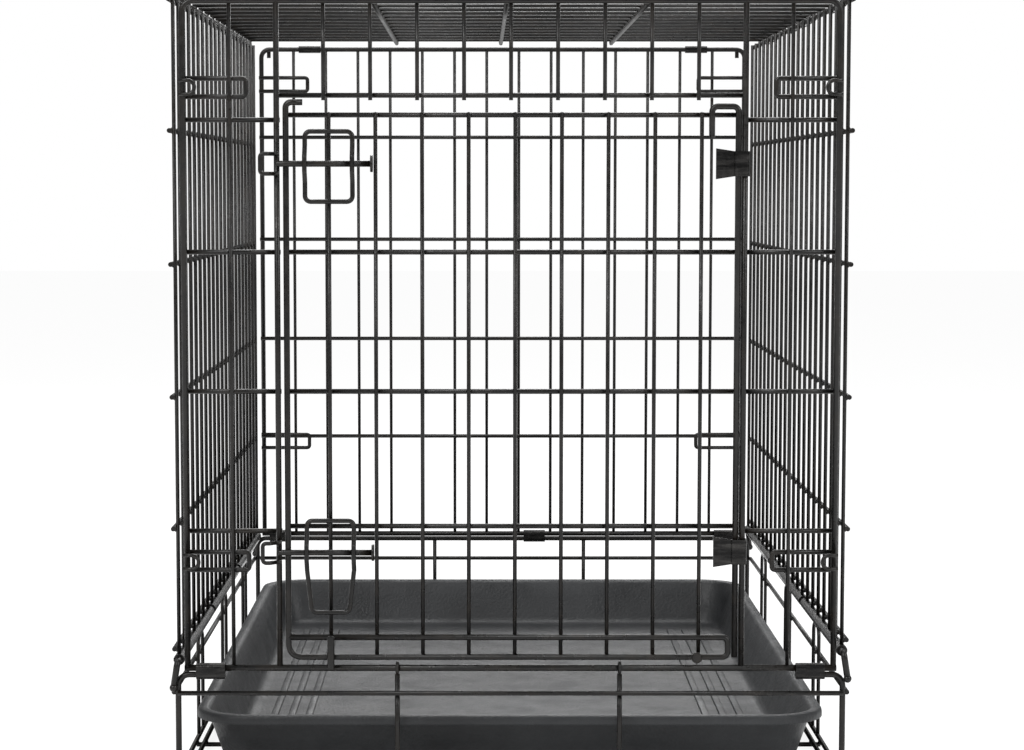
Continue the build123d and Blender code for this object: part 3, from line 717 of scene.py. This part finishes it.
class CRATE_OT_pan(bpy.types.Operator):
    """Moulded pan with a rolled rim, sloping walls and ribs"""

    bl_idname = "crate.pan"
    bl_label = "Pan"

    def execute(self, context):
        s = sizes()
        bm = bmesh.new()
        low, high = PAN
        wide = high[0] - low[0]
        long = high[1] - low[1]
        tall = high[2] - low[2]
        middle = Matrix.Translation((0, 0, high[2] - s.pan_lip / 2))
        shape = Matrix.Diagonal((wide, long, s.pan_lip, 1.0))
        bmesh.ops.create_cube(bm, size=1.0, matrix=middle @ shape)
        corners = [e for e in bm.edges if abs(e.verts[0].co.z - e.verts[1].co.z) > s.pan_lip / 2]
        round_edges(bm, corners, s.pan_corner, WIRE_SIDES)
        round_edges(bm, list(end_face(bm, max).edges), s.rim_round, 3)
        round_edges(bm, list(end_face(bm, min).edges), s.lip_round, 3)
        top = end_face(bm, max)
        bottom = end_face(bm, min)
        # Rolled rim, inner wall and floor
        bends = sum(rise for inset, rise in RIM_STEPS + FLOOR_STEPS)
        wall = tall - s.pan_wall + bends
        walls = tuple((inset, -wall * share) for inset, share in INNER_WALL)
        for inset, rise in RIM_STEPS + walls + FLOOR_STEPS:
            step_in(bm, top, inset, rise)
        # Underside of the lip, outside of the wall and the bottom
        bends = sum(rise for inset, rise in LIP_STEPS + UNDER_STEPS)
        wall = tall - s.pan_lip + bends
        walls = tuple((inset, -wall * share) for inset, share in OUTER_WALL)
        for inset, rise in LIP_STEPS + walls + UNDER_STEPS:
            step_in(bm, bottom, inset, rise)
        # Ribs in the floor along both long sides
        floor_z = top.calc_center_median().z
        bar = Matrix.Diagonal((s.rib_width, long - s.rib_short, s.rib_height, 1.0))
        for side in (-1, 1):
            for i in range(s.rib_count):
                x = side * (wide / 2 - s.rib_inset - i * s.rib_pitch)
                place = Matrix.Translation((x, 0, floor_z + s.rib_rise))
                made = bmesh.ops.create_cube(bm, size=1.0, matrix=place @ bar)
                edges = list({e for v in made["verts"] for e in v.link_edges})
                round_edges(bm, edges, s.rib_round, 2)
        piece = finish_piece(bm, "moulded_pan", "pan", ["pan"], plastic())
        for face in piece.data.polygons:
            face.use_smooth = True
        piece.data.set_sharp_from_angle(angle=math.radians(50))
        return {"FINISHED"}


class CRATE_OT_latches(bpy.types.Operator):
    """Bolt guides, keepers, bolts and corner loops"""

    bl_idname = "crate.latches"
    bl_label = "Latches"

    def guide(self, name, foot_width, bolt_z):
        s = sizes()
        low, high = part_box("bolt_guide_" + name)
        middle = s.door_first
        half = high[0] - s.guide / 2 - middle
        foot = foot_width / 2
        back_y = high[1] - s.guide / 2
        out_y = low[1] + s.guide / 2
        top = high[2] - s.guide / 2
        bottom = low[2] + s.guide / 2
        rise = s.guide_step + s.curl
        points = [
            (half, back_y, top),
            (half, back_y, bolt_z + rise),
            (half, out_y, bolt_z + s.guide_flat),
            (half, out_y, bolt_z - s.guide_flat),
            (half, back_y, bolt_z - rise),
            (foot, back_y, bottom),
        ]
        left = [(middle - x, y, z) for x, y, z in points]
        right = [(middle + x, y, z) for x, y, z in reversed(points)]
        start = (middle, back_y, top)
        bends = [s.curl] + [s.curl / 2] * 4 + [s.curl]
        bm = bmesh.new()
        wire(bm, [start] + left + right + [start], s.guide, bends + bends, loop=True)
        finish_piece(bm, "guide_wire_" + name, "door", ["bolt_guide_" + name])

    def keeper(self, name, bolt_z):
        s = sizes()
        low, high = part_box("bolt_keeper_" + name)
        back_y = high[1] - s.keeper / 2
        out_y = low[1] + s.keeper / 2
        end_x = low[0] + s.keeper / 2
        half = (high[2] - low[2]) / 2 - s.keeper / 2
        leg = [
            (high[0], back_y, half),
            (high[0] - s.post, back_y, half),
            (end_x + s.guide_flat, out_y, half),
            (end_x, out_y, half),
        ]
        upper = [(x, y, bolt_z + z) for x, y, z in leg]
        lower = [(x, y, bolt_z - z) for x, y, z in reversed(leg)]
        small = s.hairpin_bend / 2
        bends = [small, small, s.hairpin_bend, s.hairpin_bend, small, small]
        bm = bmesh.new()
        wire(bm, upper + lower, s.keeper, bends)
        finish_piece(bm, "keeper_wire_" + name, "front", ["bolt_keeper_" + name])

    def bolt(self, name, low, high):
        s = sizes()
        y = (low[1] + high[1]) / 2
        z = (low[2] + high[2]) / 2
        disc_x = high[0] - s.disc_thick
        bm = bmesh.new()
        wire(bm, [(low[0], y, z), (disc_x, y, z)], s.post)
        wire(bm, [(disc_x, y, z), (high[0], y, z)], s.disc)
        caps = [f for f in bm.faces if len(f.verts) == WIRE_SIDES]
        face = max(caps, key=lambda f: f.calc_center_median().x)
        bmesh.ops.inset_region(bm, faces=[face], thickness=s.disc_rim, depth=0.0, use_even_offset=True)
        bmesh.ops.translate(bm, vec=(-s.disc_dish, 0, 0), verts=list(face.verts))
        tip = min(caps, key=lambda f: f.calc_center_median().x)
        round_edges(bm, list(tip.edges), s.tip_round, 3)
        finish_piece(bm, "bolt_" + name, "bolt_" + name, ["slide_bolt_" + name])

    def execute(self, context):
        s = sizes()
        for i, name in enumerate(LATCHES):
            low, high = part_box("slide_bolt_" + name)
            bolt_z = (low[2] + high[2]) / 2
            self.guide(name, s.guide_feet[i], bolt_z)
            self.keeper(name, bolt_z)
            self.bolt(name, low, high)
        low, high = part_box("front_corner_loops")
        loop_y = (low[1] + high[1]) / 2
        bm = bmesh.new()
        for side in (-1, 1):
            for height in s.front_hairpins:
                z = s.front_hinge + height
                close = side * (high[0] - s.post / 2 - s.loop_reach)
                loop = [
                    (side * high[0], loop_y, z - s.loop_height / 2),
                    (close, loop_y, z - s.loop_height / 2),
                    (close, loop_y, z + s.loop_height / 2),
                    (side * high[0], loop_y, z + s.loop_height / 2),
                ]
                wire(bm, loop, s.wire, s.loop_height / 2 - ROD_GAP)
        finish_piece(bm, "corner_loops", "front", ["front_corner_loops"])
        return {"FINISHED"}


class CRATE_OT_base(bpy.types.Operator):
    """Bent wires, rails, floor wires, hoops and uprights of the base"""

    bl_idname = "crate.base"
    bl_label = "Base"

    def execute(self, context):
        s = sizes()
        bm = bmesh.new()
        low, high = BASE
        side_x = high[0] - s.post / 2
        end_y = high[1] - s.post / 2
        low_z = low[2] + s.post / 2
        stub_z = s.front_hinge - (s.foot_rail + s.post) / 2 - RUN_GAP
        back_z = high[2] - s.post / 2
        front_path = [
            (-side_x + s.stub, -end_y, stub_z),
            (-side_x, -end_y, stub_z),
            (-side_x, -end_y, low_z),
            (side_x, -end_y, low_z),
            (side_x, -end_y, stub_z),
            (side_x - s.stub, -end_y, stub_z),
        ]
        wire(bm, front_path, s.post, s.corner)
        back_path = [
            (-side_x, end_y, low_z),
            (-side_x, end_y, back_z),
            (side_x, end_y, back_z),
            (side_x, end_y, low_z),
        ]
        wire(bm, back_path, s.post, s.corner)
        rail_low_z = s.rail * 1.5
        rail_x = RAILS[1][0] - s.rail / 2
        rail_y = RAILS[1][1] - s.rail / 2
        for y, z in ((-rail_y, s.base_mid), (rail_y, s.base_mid), (end_y, low_z)):
            wire(bm, [(-side_x, y, z), (side_x, y, z)], s.rail)
        for side in (-1, 1):
            for x in (side_x, side_x - s.low_inset):
                wire(bm, [(side * x, -end_y, rail_low_z), (side * x, end_y, rail_low_z)], s.rail)
            wire(bm, [(side * rail_x, -end_y, s.base_mid), (side * rail_x, end_y, s.base_mid)], s.rail)
        count = s.floor_wires
        floor_step = 2 * (end_y - s.corner) / (count - 1)
        floor_ys = [(i - (count - 1) / 2) * floor_step for i in range(count)]
        beads = []
        for y in floor_ys:
            wire(bm, [(-side_x, y, s.rail / 2), (side_x, y, s.rail / 2)], s.rail)
            beads += [(side * x, y, s.rail) for side in (-1, 1) for x in (side_x, side_x - s.low_inset)]
        right_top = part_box("base_side_hoops")[1][2] - s.wire / 2
        left_top = right_top - (s.wire + s.rail + RUN_GAP)
        for side, hoop_top in ((-1, left_top), (1, right_top)):
            for y in s.hoops:
                near = y - s.hoop_width / 2
                far = y + s.hoop_width / 2
                hoop = [
                    (side * side_x, near, rail_low_z),
                    (side * side_x, near, hoop_top),
                    (side * side_x, far, hoop_top),
                    (side * side_x, far, rail_low_z),
                ]
                wire(bm, hoop, s.wire, s.corner)
                middle_x = side * (side_x + s.wire / 2)
                beads += [(middle_x, near, s.base_mid), (middle_x, far, s.base_mid)]
        eye_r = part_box("base_uprights")[1][2] - s.front_hinge - s.wire / 2
        for x in s.uprights:
            wire(bm, [(x, -end_y, low_z), (x, -end_y, s.front_hinge - eye_r)], s.rail)
            ring = [
                (x, -end_y + eye_r * math.sin(a), s.front_hinge - eye_r * math.cos(a))
                for a in (i * math.tau / 8 for i in range(1, 9))
            ]
            start = (Vector(ring[-1]) + Vector(ring[0])) / 2
            wire(bm, [start] + ring + [start], s.wire * 0.8, eye_r * 0.9, loop=True)
        for x in s.back_uprights:
            wire(bm, [(x, end_y, low_z), (x, end_y, back_z)], s.rail)
        weld_beads(bm, beads, s.weld)
        finish_piece(bm, "base_wires", "base", BASE_NODES)
        return {"FINISHED"}


class CRATE_OT_side_rods(bpy.types.Operator):
    """Rods that the side panels turn on, with their bent and balled ends"""

    bl_idname = "crate.side_rods"
    bl_label = "Side rods"

    def execute(self, context):
        s = sizes()
        for name, side in (("left", -1), ("right", 1)):
            low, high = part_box(name + "_side_rod")
            ball = s.rod_ball
            side_x = BASE[1][0] - s.post / 2
            hinge_z = high[2] - s.rod / 2
            end_x = side * (side_x + s.rod_out)
            end_y = high[1] - ball / 2
            end_z = low[2] + ball / 2
            bm = bmesh.new()
            path = [
                (end_x, -end_y, end_z),
                (side * side_x, -end_y, hinge_z),
                (side * side_x, end_y, hinge_z),
                (end_x, end_y, end_z),
            ]
            wire(bm, path, s.rod, s.rod_bend)
            for y in (-end_y, end_y):
                place = Matrix.Translation((end_x, y, end_z))
                bmesh.ops.create_uvsphere(bm, u_segments=12, v_segments=8, radius=ball / 2, matrix=place)
            finish_piece(bm, name + "_rod", "base", [name + "_side_rod"])
        return {"FINISHED"}


class CRATE_OT_finishes(bpy.types.Operator):
    """Finishes of the base, rods, sleeves, tubes, guides, keepers and bolts"""

    bl_idname = "crate.finishes"
    bl_label = "Finishes"

    def execute(self, context):
        slots = {part["node"]: part["material_slot"] for part in frame["record"]["subparts"]}
        for name in frame["nodes"]:
            slot = slots.get(name, "black_wire")
            if slot == "tray_plastic":
                paint_node(name, plastic())
            elif slot == "dark_steel":
                paint_node(name, steel())
            else:
                paint_node(name, coat())
        return {"FINISHED"}


class CRATE_OT_stage(bpy.types.Operator):
    """Pale floor, soft lights and the camera"""

    bl_idname = "crate.stage"
    bl_label = "Stage"

    def lamp(self, name, place, wide, power):
        data = bpy.data.lights.new(name, "AREA")
        data.shape = "RECTANGLE"
        data.size = wide
        data.size_y = wide * 0.7
        data.energy = power
        lamp = bpy.data.objects.new(name, data)
        lamp.location = place
        lamp.rotation_euler = (Vector(LAMP_AIM) - Vector(place)).to_track_quat("-Z", "Y").to_euler()
        bpy.context.scene.collection.objects.link(lamp)

    def execute(self, context):
        scene = context.scene
        bm = bmesh.new()
        bmesh.ops.create_grid(bm, x_segments=1, y_segments=1, size=12.0)
        mesh = bpy.data.meshes.new("studio_floor")
        bm.to_mesh(mesh)
        bm.free()
        floor = bpy.data.objects.new("studio_floor", mesh)
        floor.data.materials.append(pale_floor())
        scene.collection.objects.link(floor)

        for name, place, wide, power in LAMPS:
            self.lamp(name, place, wide, power)

        world = bpy.data.worlds.new("studio")
        world.use_nodes = True
        tree = world.node_tree
        tree.nodes.clear()
        output = tree.nodes.new("ShaderNodeOutputWorld")
        rays = tree.nodes.new("ShaderNodeLightPath")
        white = tree.nodes.new("ShaderNodeBackground")
        soft = tree.nodes.new("ShaderNodeBackground")
        soft.inputs["Strength"].default_value = 0.38
        white.inputs["Color"].default_value = (1.0, 1.0, 1.0, 1.0)
        soft.inputs["Color"].default_value = (1.0, 1.0, 1.0, 1.0)
        mix = tree.nodes.new("ShaderNodeMixShader")
        tree.links.new(rays.outputs["Is Camera Ray"], mix.inputs["Fac"])
        tree.links.new(soft.outputs["Background"], mix.inputs[1])
        tree.links.new(white.outputs["Background"], mix.inputs[2])
        tree.links.new(mix.outputs["Shader"], output.inputs["Surface"])
        scene.world = world

        data = bpy.data.cameras.new("camera")
        data.lens = CAMERA_LENS
        data.sensor_width = 36.0
        data.shift_x, data.shift_y = CAMERA_SHIFT
        camera = bpy.data.objects.new("camera", data)
        camera.location = CAMERA_PLACE
        camera.rotation_euler = (math.radians(90.0 - CAMERA_TILT), 0.0, 0.0)
        scene.collection.objects.link(camera)
        scene.camera = camera
        scene.view_settings.view_transform = "Standard"
        return {"FINISHED"}


PIECES = (
    CRATE_OT_finishes,
    CRATE_OT_front_panel,
    CRATE_OT_door,
    CRATE_OT_back_panel,
    CRATE_OT_side_panels,
    CRATE_OT_roof,
    CRATE_OT_pan,
    CRATE_OT_latches,
    CRATE_OT_base,
    CRATE_OT_side_rods,
    CRATE_OT_stage,
)


class CRATE_PT_pieces(bpy.types.Panel):
    """The crate's pieces, sizes and colours"""

    bl_idname = "CRATE_PT_pieces"
    bl_label = "Pet crate"
    bl_space_type = "VIEW_3D"
    bl_region_type = "UI"
    bl_category = "Crate"

    def draw(self, context):
        column = self.layout.column()
        for operator in PIECES:
            column.operator(operator.bl_idname)
        for name in CrateSizes.__annotations__:
            column.prop(context.scene.crate_sizes, name)
        for name in CrateColours.__annotations__:
            column.prop(context.scene.crate_colours, name)


CLASSES = (CrateSizes, CrateColours, *PIECES, CRATE_PT_pieces)


def register():
    for item in CLASSES:
        bpy.utils.register_class(item)
    bpy.types.Scene.crate_sizes = PointerProperty(type=CrateSizes)
    bpy.types.Scene.crate_colours = PointerProperty(type=CrateColours)


def unregister():
    del bpy.types.Scene.crate_sizes
    del bpy.types.Scene.crate_colours
    for item in reversed(CLASSES):
        bpy.utils.unregister_class(item)


def main():
    register()
    for operator in PIECES:
        group, name = operator.bl_idname.split(".")
        getattr(getattr(bpy.ops, group), name)()


if __name__ == "__main__":
    main()
